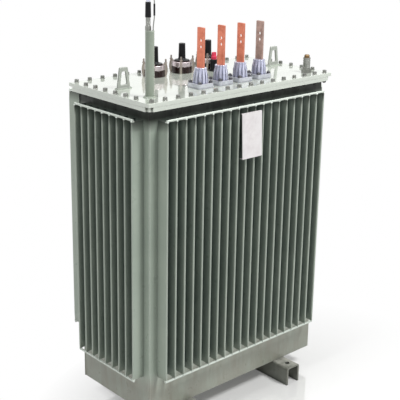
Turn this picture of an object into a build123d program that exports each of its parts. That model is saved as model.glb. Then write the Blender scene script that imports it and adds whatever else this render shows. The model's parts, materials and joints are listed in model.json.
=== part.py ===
from build123d import *
import math
import os

# Cooling fins, each a flat pocket pressed together at its top and bottom
fin_pitch = 45.0
front_bank_margin = 40.0
rear_bank_margin = 80.0
end_bank_margin = 40.0
fin_height = 1048.0
fin_thickness = 9.0
fin_seam_thickness = 3.0
fin_pinch_height = 36.0
fin_depth = 54.0
rear_fin_depth = 195.0

# Tank shell, flange and cover
tank_length = 939.0
tank_width = 444.0
wall_thickness = 4.0
floor_thickness = 8.0
skirt_height = 160.0
neck_height = 42.0
flange_thickness = 14.0
flange_notch = 22.0
flange_corner_recess = 9.0
cover_overhang = 28.0
cover_thickness = 14.0
cover_edge_round = 2.0
gasket_thickness = 4.0
gasket_inset = 1.0

# Rods welded across the ends of the fins
rod_diameter = 9.0
rod_end_reach = 2.0
rod_setback = 6.0

# Base channels
channel_gauge = 550.0
channel_width = 76.0
channel_height = 84.0
channel_thickness = 8.0
channel_bend_radius = 12.0
channel_end_margin = 38.0
channel_hole_diameter = 22.0

# Lifting lugs
lug_end_inset = 84.5
lug_row_middle_x = 13.0
lug_row_y = 25.0
lug_foot_width = 58.0
lug_head_width = 36.0
lug_height = 78.0
lug_thickness = 9.0
lug_corner_radius = 6.0
lug_leg_width = 10.0
lug_slot_height = 52.0
lug_slot_floor = 10.0
lug_slot_radius = 7.0
lug_pad_length = 64.0
lug_pad_width = 20.0
lug_pad_height = 5.0

# High voltage bushings
hv_spacing = 147.0
hv_row_middle_x = 1.0
hv_row_inset = 104.0
hv_names = ("left", "middle", "right")
hv_foot_diameter = 84.0
hv_foot_height = 27.0
hv_neck_diameter = 68.0
hv_foot_round = 3.0
hv_ring_diameter = 82.0
hv_ring_height = 20.0
hv_ring_round = 2.0
hv_neck_stand = 3.0
hv_cap_diameter = 62.0
hv_cap_rim = 3.0
hv_flare_height = 10.0
hv_stem_diameter = 30.0
hv_stem_top_diameter = 27.0
hv_stem_height = 69.0
hv_stem_round = 3.0
claw_count = 4
claw_width = 9.0
claw_thickness = 6.0
claw_bow = 5.0
claw_hook_depth = 6.0
claw_stud_diameter = 7.0
claw_stud_height = 18.0

# Low voltage bushings
lv_spacing = 107.0
lv_row_middle_x = 14.0
lv_row_inset = 115.0
lv_count = 4
lv_clamp_width = 76.0
lv_clamp_height = 18.0
lv_clamp_corner_radius = 10.0
lv_waist_diameter = 60.0
lv_shoulder_diameter = 58.0
lv_shoulder_height = 46.0
lv_collar_diameter = 48.0
lv_collar_height = 10.0
lv_porcelain_height = 77.0
lv_flute_count = 12
lv_flute_diameter = 7.0
lv_top_round = 2.0
flag_width = 37.0
flag_thickness = 8.0
flag_height = 155.0
flag_corner_radius = 3.0
flag_hole_count = 2
flag_hole_diameter = 14.0
flag_hole_spacing = 25.0
flag_hole_drop = 50.0

# Tap changer
tap_x = 126.0
tap_row_offset = 62.0
tap_body_diameter = 30.0
tap_body_height = 50.0
tap_body_chamfer = 2.0
tap_flange_diameter = 40.0
tap_flange_height = 6.0
knob_diameter = 23.0
knob_skirt_height = 14.0
knob_grip_width = 9.0
knob_grip_height = 16.0
knob_round = 2.0

# Thermometer pocket
pocket_end_inset = 84.5
pocket_front_inset = 67.0
pocket_nut_width = 38.0
pocket_nut_height = 18.0
pocket_body_diameter = 31.0
pocket_body_height = 46.0
pocket_groove_depth = 1.2
pocket_groove_count = 4
pocket_plug_diameter = 23.0
pocket_plug_height = 13.0
pocket_plug_chamfer = 4.0

# Filler pipe with the level gauge on top of it
pipe_end_inset = 78.5
pipe_front_inset = 91.0
pipe_diameter = 33.7
pipe_height = 246.0
pipe_collar_diameter = 46.0
pipe_collar_height = 6.0
gauge_line_angle = -42.0
gauge_offset = -6.0
union_diameter = 18.0
union_height = 48.0
union_nut_width = 19.0
union_nut_height = 16.0
union_ring_count = 5
union_ring_depth = 1.0
sleeve_diameter = 22.0
sleeve_top_diameter = 20.0
sleeve_height = 54.0
sight_tube_diameter = 15.0
sight_tube_height = 64.0
gauge_cap_diameter = 22.0
gauge_cap_height = 26.0
gauge_cap_round = 5.0
guard_rod_diameter = 4.0
guard_foot_offset = 12.5
guard_bow = 4.0
guard_foot_rise = 12.0
guard_bend_radius = 60.0
guard_head_bend_radius = 5.0
guard_sleeve_diameter = 7.0
guard_sleeve_margin = 6.0

# Rating plate tray, its face leaning out towards the foot
plate_width = 108.0
plate_height = 180.0
plate_sheet = 2.0
plate_head_stand = 7.0
plate_foot_stand = 15.0
plate_middle_x = -7.0
plate_drop = 20.0

# Clearance between curved pieces and what carries them, and the overrun of every cut
seat_gap = 0.3
overrun = 5.0

# Sides of a spanner nut, and how a turned piece stands on level zero
hexagon_count = 6
upright = (Align.CENTER, Align.CENTER, Align.MIN)

# Values worked out from the sizes above
wall_height = skirt_height + fin_height + neck_height
flange_level = channel_height + wall_height
gasket_level = flange_level + flange_thickness
cover_level = gasket_level + gasket_thickness
cover_top = cover_level + cover_thickness
cover_length = tank_length + 2 * cover_overhang
cover_width = tank_width + 2 * cover_overhang
channel_reach = channel_gauge / 2 + channel_end_margin
rear_reach = tank_width / 2 + rear_fin_depth
tank_shift_y = (channel_reach - rear_reach) / 2

# A bank has as many fins as its wall holds between the margins at its two ends
front_fin_count = int((tank_length - 2 * front_bank_margin) / fin_pitch) + 1
rear_fin_count = int((tank_length - 2 * rear_bank_margin) / fin_pitch) + 1
end_fin_count = int((tank_width - 2 * end_bank_margin) / fin_pitch) + 1

# What stands on the cover keeps its distance from the cover's edges
lug_spread = cover_length - 2 * lug_end_inset
hv_row_y = cover_width / 2 - hv_row_inset
lv_row_y = lv_row_inset - cover_width / 2
tap_y = hv_row_y - tap_row_offset
pocket_x = cover_length / 2 - pocket_end_inset
pocket_y = pocket_front_inset - cover_width / 2
pipe_x = pipe_end_inset - cover_length / 2
pipe_y = pipe_front_inset - cover_width / 2
pieces = {}


def fin_section(thickness, depth, level):
    """One level section of a fin: straight sides and a round outer edge."""
    half = thickness / 2
    root = wall_thickness / 2
    side = depth - half
    outline = [
        Line((-half, root), (-half, -side)),
        ThreePointArc((-half, -side), (0, -depth), (half, -side)),
        Line((half, -side), (half, root)),
        Line((half, root), (-half, root)),
    ]
    return Pos(0, 0, level) * make_face(outline)


def fin(depth):
    """A fin with its foot at level zero, pressed thin at both ends."""
    sections = [
        fin_section(fin_seam_thickness, depth, 0),
        fin_section(fin_thickness, depth, fin_pinch_height),
        fin_section(fin_thickness, depth, fin_height - fin_pinch_height),
        fin_section(fin_seam_thickness, depth, fin_height),
    ]
    return loft(sections, ruled=True)


def fin_places(count):
    """Places of the fins along a wall, measured from its middle."""
    return [(index - (count - 1) / 2) * fin_pitch for index in range(count)]


def finned_wall(length, count, depth):
    """A wall plate facing -Y with its fins, outer face at y = 0, foot at level zero."""
    plate = Pos(0, wall_thickness / 2, wall_height / 2) * Box(length, wall_thickness, wall_height)
    one_fin = Pos(0, 0, skirt_height) * fin(depth)
    return plate + [Pos(place, 0, 0) * one_fin for place in fin_places(count)]


def fin_rods(count, depth):
    """The upper and lower rods of one bank of fins, in the same frame as its wall."""
    length = (count - 1) * fin_pitch + 2 * rod_end_reach
    offset = rod_diameter / 2 + seat_gap
    rod = Rot(0, 90, 0) * Cylinder(rod_diameter / 2, length)
    upper = Pos(0, rod_setback - depth, skirt_height + fin_height + offset) * rod
    lower = Pos(0, rod_setback - depth, skirt_height - offset) * rod
    return upper + lower


def build_tank():
    """Four finned walls, the floor between them and the rods on the fins."""
    short_wall = tank_width - 2 * wall_thickness
    sides = {
        "front": (tank_length, front_fin_count, fin_depth, 0, tank_width / 2),
        "right": (short_wall, end_fin_count, fin_depth, 90, tank_length / 2),
        "back": (tank_length, rear_fin_count, rear_fin_depth, 180, tank_width / 2),
        "left": (short_wall, end_fin_count, fin_depth, 270, tank_length / 2),
    }
    for side, (length, count, depth, turn, distance) in sides.items():
        place = Rot(0, 0, turn) * Pos(0, -distance, channel_height)
        pieces[side + "_wall"] = place * finned_wall(length, count, depth)
        pieces[side + "_fin_rods"] = place * fin_rods(count, depth)
    floor = Box(tank_length - 2 * wall_thickness, short_wall, floor_thickness)
    pieces["tank_floor"] = Pos(0, 0, channel_height + floor_thickness / 2) * floor


def rim_frame(inset):
    """Flat frame round the tank's mouth, set in from the cover's edge, with its corners set back."""
    length = cover_length - 2 * inset
    width = cover_width - 2 * inset
    frame = Rectangle(length - 2 * flange_corner_recess, width - 2 * flange_corner_recess)
    frame += Rectangle(length - 2 * flange_notch, width)
    frame += Rectangle(length, width - 2 * flange_notch)
    return frame - Rectangle(tank_length - 2 * wall_thickness, tank_width - 2 * wall_thickness)


def build_cover():
    """Flange, gasket and cover plate."""
    pieces["tank_flange"] = Pos(0, 0, flange_level) * extrude(rim_frame(0), flange_thickness)
    pieces["cover_gasket"] = Pos(0, 0, gasket_level) * extrude(rim_frame(gasket_inset), gasket_thickness)
    plate = extrude(Rectangle(cover_length, cover_width), cover_thickness)
    plate = fillet(plate.edges().filter_by(Axis.Z), cover_edge_round)
    plate = fillet(plate.faces().sort_by(Axis.Z)[-1].edges(), cover_edge_round / 2)
    pieces["cover"] = Pos(0, 0, cover_level) * plate


def base_channel():
    """A bent plate channel, open side down, running along Y."""
    outer = Pos(0, channel_height / 2) * Rectangle(channel_width, channel_height)
    outer = fillet(outer.vertices().group_by(Axis.Y)[-1], channel_bend_radius)
    inner_height = channel_height - channel_thickness
    inner = Pos(0, inner_height / 2) * Rectangle(channel_width - 2 * channel_thickness, inner_height)
    inner = fillet(inner.vertices().group_by(Axis.Y)[-1], channel_bend_radius - channel_thickness)
    body = extrude(Plane.XZ * (outer - inner), channel_reach, both=True)
    drill = Cylinder(channel_hole_diameter / 2, channel_thickness + 2 * overrun)
    web = channel_height - channel_thickness / 2
    for end in (-1, 1):
        body -= Pos(0, end * channel_gauge / 2, web) * drill
    return body


def tapered_face(foot, head, floor, top):
    """An upright face that is symmetrical about its middle, given its half widths and levels."""
    return make_face(Polyline((-foot, floor), (foot, floor), (head, top), (-head, top), close=True))


def lug_half_width(level):
    """Half the lug's width at a level above its foot."""
    taper = (lug_foot_width - lug_head_width) / lug_height
    return (lug_foot_width - taper * level) / 2


def lifting_lug():
    """A tapered plate with a tapered slot, welded on a foot pad that stands at level zero."""
    outline = tapered_face(lug_half_width(0), lug_half_width(lug_height), 0, lug_height)
    outline = fillet(outline.vertices().group_by(Axis.Y)[-1], lug_corner_radius)
    slot_top = lug_slot_floor + lug_slot_height
    slot_foot = lug_half_width(lug_slot_floor) - lug_leg_width
    slot_head = lug_half_width(slot_top) - lug_leg_width
    slot = tapered_face(slot_foot, slot_head, lug_slot_floor, slot_top)
    slot = fillet(slot.vertices(), lug_slot_radius)
    plate = extrude(Plane.XZ * (outline - slot), lug_thickness / 2, both=True)
    pad = Box(lug_pad_length, lug_pad_width, lug_pad_height, align=upright)
    return pad + Pos(0, 0, lug_pad_height) * plate


def build_carriage():
    """Base channels under the tank and lifting lugs on the cover."""
    for side, sign in (("left", -1), ("right", 1)):
        pieces[side + "_base_channel"] = Pos(sign * channel_gauge / 2, 0, 0) * base_channel()
        lug_x = lug_row_middle_x + sign * lug_spread / 2
        pieces[side + "_lifting_lug"] = Pos(lug_x, lug_row_y, cover_top) * lifting_lug()


def turned(points):
    """A solid of revolution about Z from an outline of radius and level."""
    return revolve(Plane.XZ * make_face(Polyline(*points, close=True)), Axis.Z)


def hv_porcelain():
    """Broad foot and the neck that carries the clamp ring."""
    foot = Cylinder(hv_foot_diameter / 2, hv_foot_height, align=upright)
    foot = fillet(foot.edges().sort_by(Axis.Z)[-1], hv_foot_round)
    neck_top = hv_foot_height + hv_ring_height + hv_neck_stand
    return foot + Cylinder(hv_neck_diameter / 2, neck_top, align=upright)


def hv_ring():
    """Metal ring that lies on the foot's shoulder."""
    ring = Cylinder(hv_ring_diameter / 2, hv_ring_height, align=upright)
    ring = fillet(ring.edges(), hv_ring_round)
    bore = Cylinder(hv_neck_diameter / 2 + seat_gap, hv_ring_height + 2 * overrun)
    return Pos(0, 0, hv_foot_height) * (ring - Pos(0, 0, hv_ring_height / 2) * bore)


def hv_stem():
    """Insulating cap with a flared foot and a slender stem."""
    rim = hv_cap_diameter / 2
    stem = hv_stem_diameter / 2
    tip = hv_stem_top_diameter / 2
    shoulder = hv_cap_rim + hv_flare_height
    top = hv_cap_rim + hv_stem_height
    outline = [
        Line((0, 0), (rim, 0)),
        Line((rim, 0), (rim, hv_cap_rim)),
        Bezier((rim, hv_cap_rim), (stem, hv_cap_rim), (stem, shoulder)),
        Line((stem, shoulder), (tip, top)),
        Line((tip, top), (0, top)),
        Line((0, top), (0, 0)),
    ]
    body = revolve(Plane.XZ * make_face(outline), Axis.Z)
    body = fillet(body.edges().sort_by(Axis.Z)[-1], hv_stem_round)
    return Pos(0, 0, hv_foot_height + hv_ring_height + hv_neck_stand) * body


def hv_claw():
    """One bowed claw beside the bushing, hooked over the ring, with a stud on its head."""
    inner = hv_foot_diameter / 2 + seat_gap
    outer = inner + claw_thickness
    hook_floor = hv_foot_height + hv_ring_height + seat_gap
    hook_top = hook_floor + claw_thickness
    hook_tip = hv_ring_diameter / 2 - claw_hook_depth
    outline = [
        Polyline((outer, 0), (inner, 0), (inner, hook_floor)),
        Polyline((inner, hook_floor), (hook_tip, hook_floor), (hook_tip, hook_top), (outer, hook_top)),
        ThreePointArc((outer, hook_top), (outer + claw_bow, hook_top / 2), (outer, 0)),
    ]
    claw = extrude(Plane.XZ * make_face(outline), claw_width / 2, both=True)
    stud = Cylinder(claw_stud_diameter / 2, claw_stud_height, align=upright)
    return claw + Pos((inner + outer) / 2, 0, hook_top) * stud


def build_hv_bushings():
    """The row of high voltage bushings along the back of the cover."""
    turn = 360 / claw_count
    claws = Part() + [Rot(0, 0, turn * (index + 1 / 2)) * hv_claw() for index in range(claw_count)]
    for index, name in enumerate(hv_names):
        place = Pos(hv_row_middle_x + (index - 1) * hv_spacing, hv_row_y, cover_top)
        pieces["hv_porcelain_" + name] = place * hv_porcelain()
        pieces["hv_ring_" + name] = place * hv_ring()
        pieces["hv_stem_" + name] = place * hv_stem()
        pieces["hv_claws_" + name] = place * claws


def lv_clamp():
    """Square clamp block round the porcelain's foot."""
    outline = RectangleRounded(lv_clamp_width, lv_clamp_width, lv_clamp_corner_radius)
    return extrude(outline - Circle(lv_waist_diameter / 2 + seat_gap), lv_clamp_height)


def lv_porcelain():
    """Waist inside the clamp, fluted bell above it and a collar on top."""
    waist = lv_waist_diameter / 2
    shoulder = lv_shoulder_diameter / 2
    collar = lv_collar_diameter / 2
    collar_floor = lv_porcelain_height - lv_collar_height
    body = turned([
        (0, 0),
        (waist, 0),
        (waist, lv_clamp_height),
        (shoulder, lv_shoulder_height),
        (collar, collar_floor),
        (collar, lv_porcelain_height),
        (0, lv_porcelain_height),
    ])
    body = fillet(body.edges().sort_by(Axis.Z)[-1], lv_top_round)
    flute_height = lv_porcelain_height - lv_clamp_height
    flute = Cylinder(lv_flute_diameter / 2, flute_height + overrun, align=upright)
    lean = math.degrees(math.atan2(waist - collar, flute_height))
    flute = Pos(waist, 0, lv_clamp_height) * Rot(0, -lean, 0) * flute
    turn = 360 / lv_flute_count
    return body - [Rot(0, 0, turn * index) * flute for index in range(lv_flute_count)]


def lv_flag():
    """Upright copper flag with a line of cable lug holes."""
    face = Pos(0, flag_height / 2) * Rectangle(flag_width, flag_height)
    face = fillet(face.vertices().group_by(Axis.Y)[-1], flag_corner_radius)
    for index in range(flag_hole_count):
        hole_level = flag_height - flag_hole_drop - index * flag_hole_spacing
        face -= Pos(0, hole_level) * Circle(flag_hole_diameter / 2)
    flag = extrude(Plane.YZ * face, flag_thickness / 2, both=True)
    return Pos(0, 0, lv_porcelain_height) * flag


def build_lv_bushings():
    """The row of low voltage bushings along the front of the cover."""
    for index in range(lv_count):
        x_place = lv_row_middle_x + (index - (lv_count - 1) / 2) * lv_spacing
        place = Pos(x_place, lv_row_y, cover_top)
        number = str(index + 1)
        pieces["lv_clamp_" + number] = place * lv_clamp()
        pieces["lv_porcelain_" + number] = place * lv_porcelain()
        pieces["lv_flag_" + number] = place * lv_flag()


def build_tap_changer():
    """Round body with a foot flange, and the knob with its flat grip."""
    place = Pos(tap_x, tap_y, cover_top)
    body = Cylinder(tap_body_diameter / 2, tap_body_height, align=upright)
    body = chamfer(body.edges().sort_by(Axis.Z)[-1], tap_body_chamfer)
    body = body + Cylinder(tap_flange_diameter / 2, tap_flange_height, align=upright)
    pieces["tap_changer_body"] = place * body
    skirt = Cylinder(knob_diameter / 2, knob_skirt_height, align=upright)
    skirt = fillet(skirt.edges().sort_by(Axis.Z)[-1], knob_round)
    grip = Box(knob_diameter - 2 * knob_round, knob_grip_width, knob_grip_height, align=upright)
    grip = fillet(grip.edges().filter_by(Axis.Y).group_by(Axis.Z)[-1], knob_grip_width / 2)
    knob = skirt + Pos(0, 0, knob_skirt_height) * grip
    pieces["tap_changer_knob"] = place * Pos(0, 0, tap_body_height) * knob


def ring_grooves(radius, depth, floor, height, count):
    """Rings to cut from a barrel of that radius, evenly spaced up a stretch of it."""
    pitch = height / (count + 1)
    ring = Cylinder(radius + overrun, pitch / 2) - Cylinder(radius - depth, pitch)
    return [Pos(0, 0, floor + pitch * (index + 1)) * ring for index in range(count)]


def build_pocket():
    """Hexagon foot, grooved barrel and the plug that closes it."""
    place = Pos(pocket_x, pocket_y, cover_top)
    nut = extrude(RegularPolygon(pocket_nut_width / 2, hexagon_count, major_radius=False), pocket_nut_height)
    barrel_radius = pocket_body_diameter / 2
    barrel = Cylinder(barrel_radius, pocket_nut_height + pocket_body_height, align=upright)
    grooves = ring_grooves(
        barrel_radius, pocket_groove_depth, pocket_nut_height, pocket_body_height, pocket_groove_count
    )
    barrel -= grooves
    pieces["thermometer_pocket"] = place * (nut + barrel)
    plug = Cylinder(pocket_plug_diameter / 2, pocket_plug_height, align=upright)
    plug = chamfer(plug.edges().sort_by(Axis.Z)[-1], pocket_plug_chamfer)
    pieces["thermometer_plug"] = place * Pos(0, 0, pocket_nut_height + pocket_body_height) * plug


def gauge_union():
    """Hexagon nut and a ringed barrel."""
    nut = extrude(RegularPolygon(union_nut_width / 2, hexagon_count, major_radius=False), union_nut_height)
    radius = union_diameter / 2
    barrel = Cylinder(radius, union_height, align=upright)
    ringed_height = union_height - union_nut_height
    barrel -= ring_grooves(radius, union_ring_depth, union_nut_height, ringed_height, union_ring_count)
    return nut + barrel


def build_gauge():
    """Filler pipe, and the level gauge that stands on it behind a guard rod."""
    foot = Pos(pipe_x, pipe_y, cover_top)
    collar = Cylinder(pipe_collar_diameter / 2, pipe_collar_height, align=upright)
    collar = chamfer(collar.edges().sort_by(Axis.Z)[-1], pipe_collar_height / 2)
    pieces["filler_pipe"] = foot * (Cylinder(pipe_diameter / 2, pipe_height, align=upright) + collar)
    stand = foot * Rot(0, 0, gauge_line_angle) * Pos(0, 0, pipe_height)
    sleeve_floor = union_height
    tube_floor = sleeve_floor + sleeve_height
    cap_floor = tube_floor + sight_tube_height
    axis = stand * Pos(gauge_offset, 0, 0)
    pieces["gauge_union"] = axis * gauge_union()
    sleeve = Cone(sleeve_diameter / 2, sleeve_top_diameter / 2, sleeve_height, align=upright)
    pieces["gauge_sleeve"] = axis * Pos(0, 0, sleeve_floor) * sleeve
    tube = Cylinder(sight_tube_diameter / 2, sight_tube_height, align=upright)
    pieces["gauge_sight_tube"] = axis * Pos(0, 0, tube_floor) * tube
    cap = Cylinder(gauge_cap_diameter / 2, gauge_cap_height, align=upright)
    cap = fillet(cap.edges().sort_by(Axis.Z)[-1], gauge_cap_round)
    pieces["gauge_cap"] = axis * Pos(0, 0, cap_floor) * cap
    build_guard(stand, sleeve_floor, tube_floor, cap_floor)


def build_guard(stand, sleeve_floor, tube_floor, cap_floor):
    """A thin bowed rod from the pipe's end to the gauge's cap, with a sleeve on it."""
    head = cap_floor + gauge_cap_height / 2
    cap_side = gauge_offset + gauge_cap_diameter / 2 + seat_gap
    bowed = guard_foot_offset + guard_bow
    points = [
        (guard_foot_offset, 0, 0),
        (guard_foot_offset, 0, guard_foot_rise),
        (bowed, 0, sleeve_floor),
        (bowed, 0, tube_floor),
        (guard_foot_offset, 0, head),
        (cap_side, 0, head),
    ]
    radii = [guard_bend_radius, guard_bend_radius, guard_bend_radius, guard_head_bend_radius]
    line = FilletPolyline(*points, radius=radii)
    section = Plane(origin=points[0], z_dir=(0, 0, 1)) * Circle(guard_rod_diameter / 2)
    pieces["guard_rod"] = stand * sweep(section, path=line)
    length = tube_floor - sleeve_floor - 2 * guard_sleeve_margin
    sleeve = Cylinder(guard_sleeve_diameter / 2, length)
    sleeve -= Cylinder(guard_rod_diameter / 2 + seat_gap, length + 2 * overrun)
    pieces["guard_sleeve"] = stand * Pos(bowed, 0, (sleeve_floor + tube_floor) / 2) * sleeve


def build_plate():
    """A bare plate folded into a shallow tray that leans on the front fins."""
    head = fin_height + skirt_height + channel_height - plate_drop
    foot = head - plate_height
    seat = tank_width / 2 + fin_depth + seat_gap + plate_sheet / 2
    path = Polyline(
        (-seat, head),
        (-seat - plate_head_stand, head),
        (-seat - plate_foot_stand, foot),
        (-seat, foot),
    )
    tray = make_face(offset(path, plate_sheet / 2, kind=Kind.INTERSECTION, side=Side.BOTH))
    pieces["rating_plate"] = Pos(plate_middle_x, 0, 0) * extrude(Plane.YZ * tray, plate_width / 2, both=True)


build_tank()
build_cover()
build_carriage()
build_hv_bushings()
build_lv_bushings()
build_tap_changer()
build_pocket()
build_gauge()
build_plate()

os.makedirs("parts", exist_ok=True)
for name, shape in pieces.items():
    export_step(Pos(0, tank_shift_y, 0) * shape, "parts/" + name + ".step")
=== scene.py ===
import json
import math
import random

import bmesh
import bpy
from mathutils import Matrix, Vector


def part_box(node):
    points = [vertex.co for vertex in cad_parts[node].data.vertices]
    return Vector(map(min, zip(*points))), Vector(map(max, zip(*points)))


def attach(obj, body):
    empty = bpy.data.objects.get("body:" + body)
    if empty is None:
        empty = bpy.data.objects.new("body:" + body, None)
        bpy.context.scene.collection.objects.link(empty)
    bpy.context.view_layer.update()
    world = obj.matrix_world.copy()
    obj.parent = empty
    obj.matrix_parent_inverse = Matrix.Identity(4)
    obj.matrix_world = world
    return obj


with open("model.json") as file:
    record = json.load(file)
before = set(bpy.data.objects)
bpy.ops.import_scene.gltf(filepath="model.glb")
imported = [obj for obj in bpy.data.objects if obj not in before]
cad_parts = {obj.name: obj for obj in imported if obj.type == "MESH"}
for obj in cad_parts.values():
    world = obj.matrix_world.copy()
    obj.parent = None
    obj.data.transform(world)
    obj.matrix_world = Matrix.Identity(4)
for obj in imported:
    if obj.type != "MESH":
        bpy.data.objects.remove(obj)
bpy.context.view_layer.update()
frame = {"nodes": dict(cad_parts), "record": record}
nodes = frame["nodes"]
scene = bpy.context.scene
mm = 0.001
print("frame loaded,", len(nodes), "nodes")


# colours are given as 0 to 255 on a screen and turned into linear light here
def tint(red, green, blue):
    def toLinear(value):
        share = value / 255
        return share / 12.92 if share <= 0.04045 else ((share + 0.055) / 1.055) ** 2.4
    return (toLinear(red), toLinear(green), toLinear(blue), 1.0)


# node helpers: a value that is a socket is linked, anything else is set on the input

floatSocket = "NodeSocketFloat"
colorSocket = "NodeSocketColor"
vectorSocket = "NodeSocketVector"


def feed(tree, socket, value):
    if isinstance(value, bpy.types.NodeSocket):
        tree.links.new(value, socket)
    else:
        socket.default_value = value


def noiseMap(tree, where, size, detail=3.0, roughness=0.5):
    node = tree.nodes.new("ShaderNodeTexNoise")
    feed(tree, node.inputs["Vector"], where)
    feed(tree, node.inputs["Scale"], size)
    feed(tree, node.inputs["Detail"], detail)
    feed(tree, node.inputs["Roughness"], roughness)
    return node.outputs["Fac"]


def remap(tree, value, fromLow, fromHigh, toLow=0.0, toHigh=1.0):
    node = tree.nodes.new("ShaderNodeMapRange")
    feed(tree, node.inputs["Value"], value)
    feed(tree, node.inputs["From Min"], fromLow)
    feed(tree, node.inputs["From Max"], fromHigh)
    feed(tree, node.inputs["To Min"], toLow)
    feed(tree, node.inputs["To Max"], toHigh)
    return node.outputs["Result"]


def calc(tree, operation, first, second):
    node = tree.nodes.new("ShaderNodeMath")
    node.operation = operation
    feed(tree, node.inputs[0], first)
    feed(tree, node.inputs[1], second)
    return node.outputs[0]


def product(tree, first, *others):
    for value in others:
        first = calc(tree, "MULTIPLY", first, value)
    return first


def stretch(tree, where, amounts):
    node = tree.nodes.new("ShaderNodeVectorMath")
    node.operation = "MULTIPLY"
    feed(tree, node.inputs[0], where)
    feed(tree, node.inputs[1], amounts)
    return node.outputs["Vector"]


def blendColors(tree, factor, first, second):
    node = tree.nodes.new("ShaderNodeMix")
    node.data_type = "RGBA"
    feed(tree, node.inputs[0], factor)  # a mix node keeps its colours at inputs 6 and 7 and output 2
    feed(tree, node.inputs[6], first)
    feed(tree, node.inputs[7], second)
    return node.outputs[2]


def objectPlace(tree):
    return tree.nodes.new("ShaderNodeTexCoord").outputs["Object"]


def upward(tree, vector):
    split = tree.nodes.new("ShaderNodeSeparateXYZ")
    feed(tree, split.inputs[0], vector)
    return split.outputs["Z"]


def newGroup(name, inputs, outputs):
    tree = bpy.data.node_groups.new(name, "ShaderNodeTree")
    for label, kind, value in inputs:
        tree.interface.new_socket(label, in_out="INPUT", socket_type=kind).default_value = value
    for label, kind in outputs:
        tree.interface.new_socket(label, in_out="OUTPUT", socket_type=kind)
    given = tree.nodes.new("NodeGroupInput").outputs
    result = tree.nodes.new("NodeGroupOutput").inputs
    return tree, given, result


# shared effects

samples = {"edge": 6, "hollow": 8, "ease": 4}


def makeEnamelSkin():  # sprayed paint: broad cloudiness, patchy gloss and a fine orange peel
    tree, given, result = newGroup(
        "enamelSkin",
        [("Color", colorSocket, tint(150, 160, 150)), ("Shade", colorSocket, tint(130, 140, 130)),
         ("Mottle", floatSocket, 0.5), ("Peel Size", floatSocket, 500.0),
         ("Gloss Low", floatSocket, 0.25), ("Gloss High", floatSocket, 0.4)],
        [("Color", colorSocket), ("Roughness", floatSocket), ("Height", floatSocket)])
    where = objectPlace(tree)
    broad = noiseMap(tree, where, size=3.2, detail=5.0, roughness=0.6)
    clouds = product(tree, remap(tree, broad, fromLow=0.36, fromHigh=0.66), given["Mottle"])
    feed(tree, result["Color"], blendColors(tree, clouds, given["Color"], given["Shade"]))
    patches = noiseMap(tree, where, size=26.0, detail=4.0, roughness=0.6)
    feed(tree, result["Roughness"], remap(
        tree, patches, fromLow=0.32, fromHigh=0.68, toLow=given["Gloss Low"], toHigh=given["Gloss High"]))
    feed(tree, result["Height"], noiseMap(tree, where, given["Peel Size"], detail=1.5))
    return tree


def makeWornEdges():  # convex edges where paint or plating is rubbed thin, with the edge itself eased
    tree, given, result = newGroup(
        "wornEdges",
        [("Color", colorSocket, tint(150, 160, 150)), ("Edge Color", colorSocket, tint(190, 198, 188)),
         ("Reach", floatSocket, 0.003), ("Amount", floatSocket, 0.6), ("Round", floatSocket, 0.0012)],
        [("Color", colorSocket), ("Normal", vectorSocket)])
    inside = tree.nodes.new("ShaderNodeAmbientOcclusion")
    inside.inside = True
    inside.only_local = True
    inside.samples = samples["edge"]
    feed(tree, inside.inputs["Distance"], given["Reach"])
    rubbed = remap(tree, inside.outputs["AO"], fromLow=0.98, fromHigh=0.62)
    chips = noiseMap(tree, objectPlace(tree), size=85.0, detail=4.0, roughness=0.65)
    broken = remap(tree, chips, fromLow=0.3, fromHigh=0.62, toLow=0.35)
    mask = product(tree, rubbed, broken, given["Amount"])
    feed(tree, result["Color"], blendColors(tree, mask, given["Color"], given["Edge Color"]))
    eased = tree.nodes.new("ShaderNodeBevel")
    eased.samples = samples["ease"]
    feed(tree, eased.inputs["Radius"], given["Round"])
    feed(tree, result["Normal"], eased.outputs["Normal"])
    return tree


def makeSettledDustAndTopHighlight():  # a thin dry dust film on faces that look up; on the base channels it is thick and light, partly dust and partly a painted highlight for the sheen of their tops
    tree, given, result = newGroup(
        "settledDustAndTopHighlight",
        [("Color", colorSocket, tint(150, 160, 150)), ("Dust And Highlight Color", colorSocket, tint(186, 182, 170)),
         ("Amount", floatSocket, 0.3), ("Roughness", floatSocket, 0.4)],
        [("Color", colorSocket), ("Roughness", floatSocket)])
    where = objectPlace(tree)
    facing = upward(tree, tree.nodes.new("ShaderNodeNewGeometry").outputs["Normal"])
    level = remap(tree, facing, fromLow=0.55, fromHigh=0.98)
    drifts = noiseMap(tree, where, size=14.0, detail=6.0, roughness=0.7)
    drift = remap(tree, drifts, fromLow=0.38, fromHigh=0.7)
    grains = noiseMap(tree, where, size=420.0, detail=2.0)
    grit = remap(tree, grains, fromLow=0.45, fromHigh=0.75, toLow=0.5)
    film = product(tree, level, drift, grit, given["Amount"])
    feed(tree, result["Color"], blendColors(tree, film, given["Color"], given["Dust And Highlight Color"]))
    feed(tree, result["Roughness"], remap(
        tree, film, fromLow=0.0, fromHigh=1.0, toLow=given["Roughness"], toHigh=0.8))
    return tree


def makeRainRuns():  # faint upright streaks left by water
    tree, given, result = newGroup(
        "rainRuns",
        [("Color", colorSocket, tint(150, 160, 150)), ("Run Color", colorSocket, tint(120, 128, 118)),
         ("Amount", floatSocket, 0.3)],
        [("Color", colorSocket)])
    where = objectPlace(tree)
    streaks = noiseMap(tree, stretch(tree, where, (1.0, 1.0, 0.02)), size=46.0, detail=2.0)
    thin = remap(tree, streaks, fromLow=0.48, fromHigh=0.78)
    faded = remap(tree, noiseMap(tree, where, size=5.0), fromLow=0.35, fromHigh=0.65)
    mask = product(tree, thin, faded, given["Amount"])
    feed(tree, result["Color"], blendColors(tree, mask, given["Color"], given["Run Color"]))
    return tree


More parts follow.
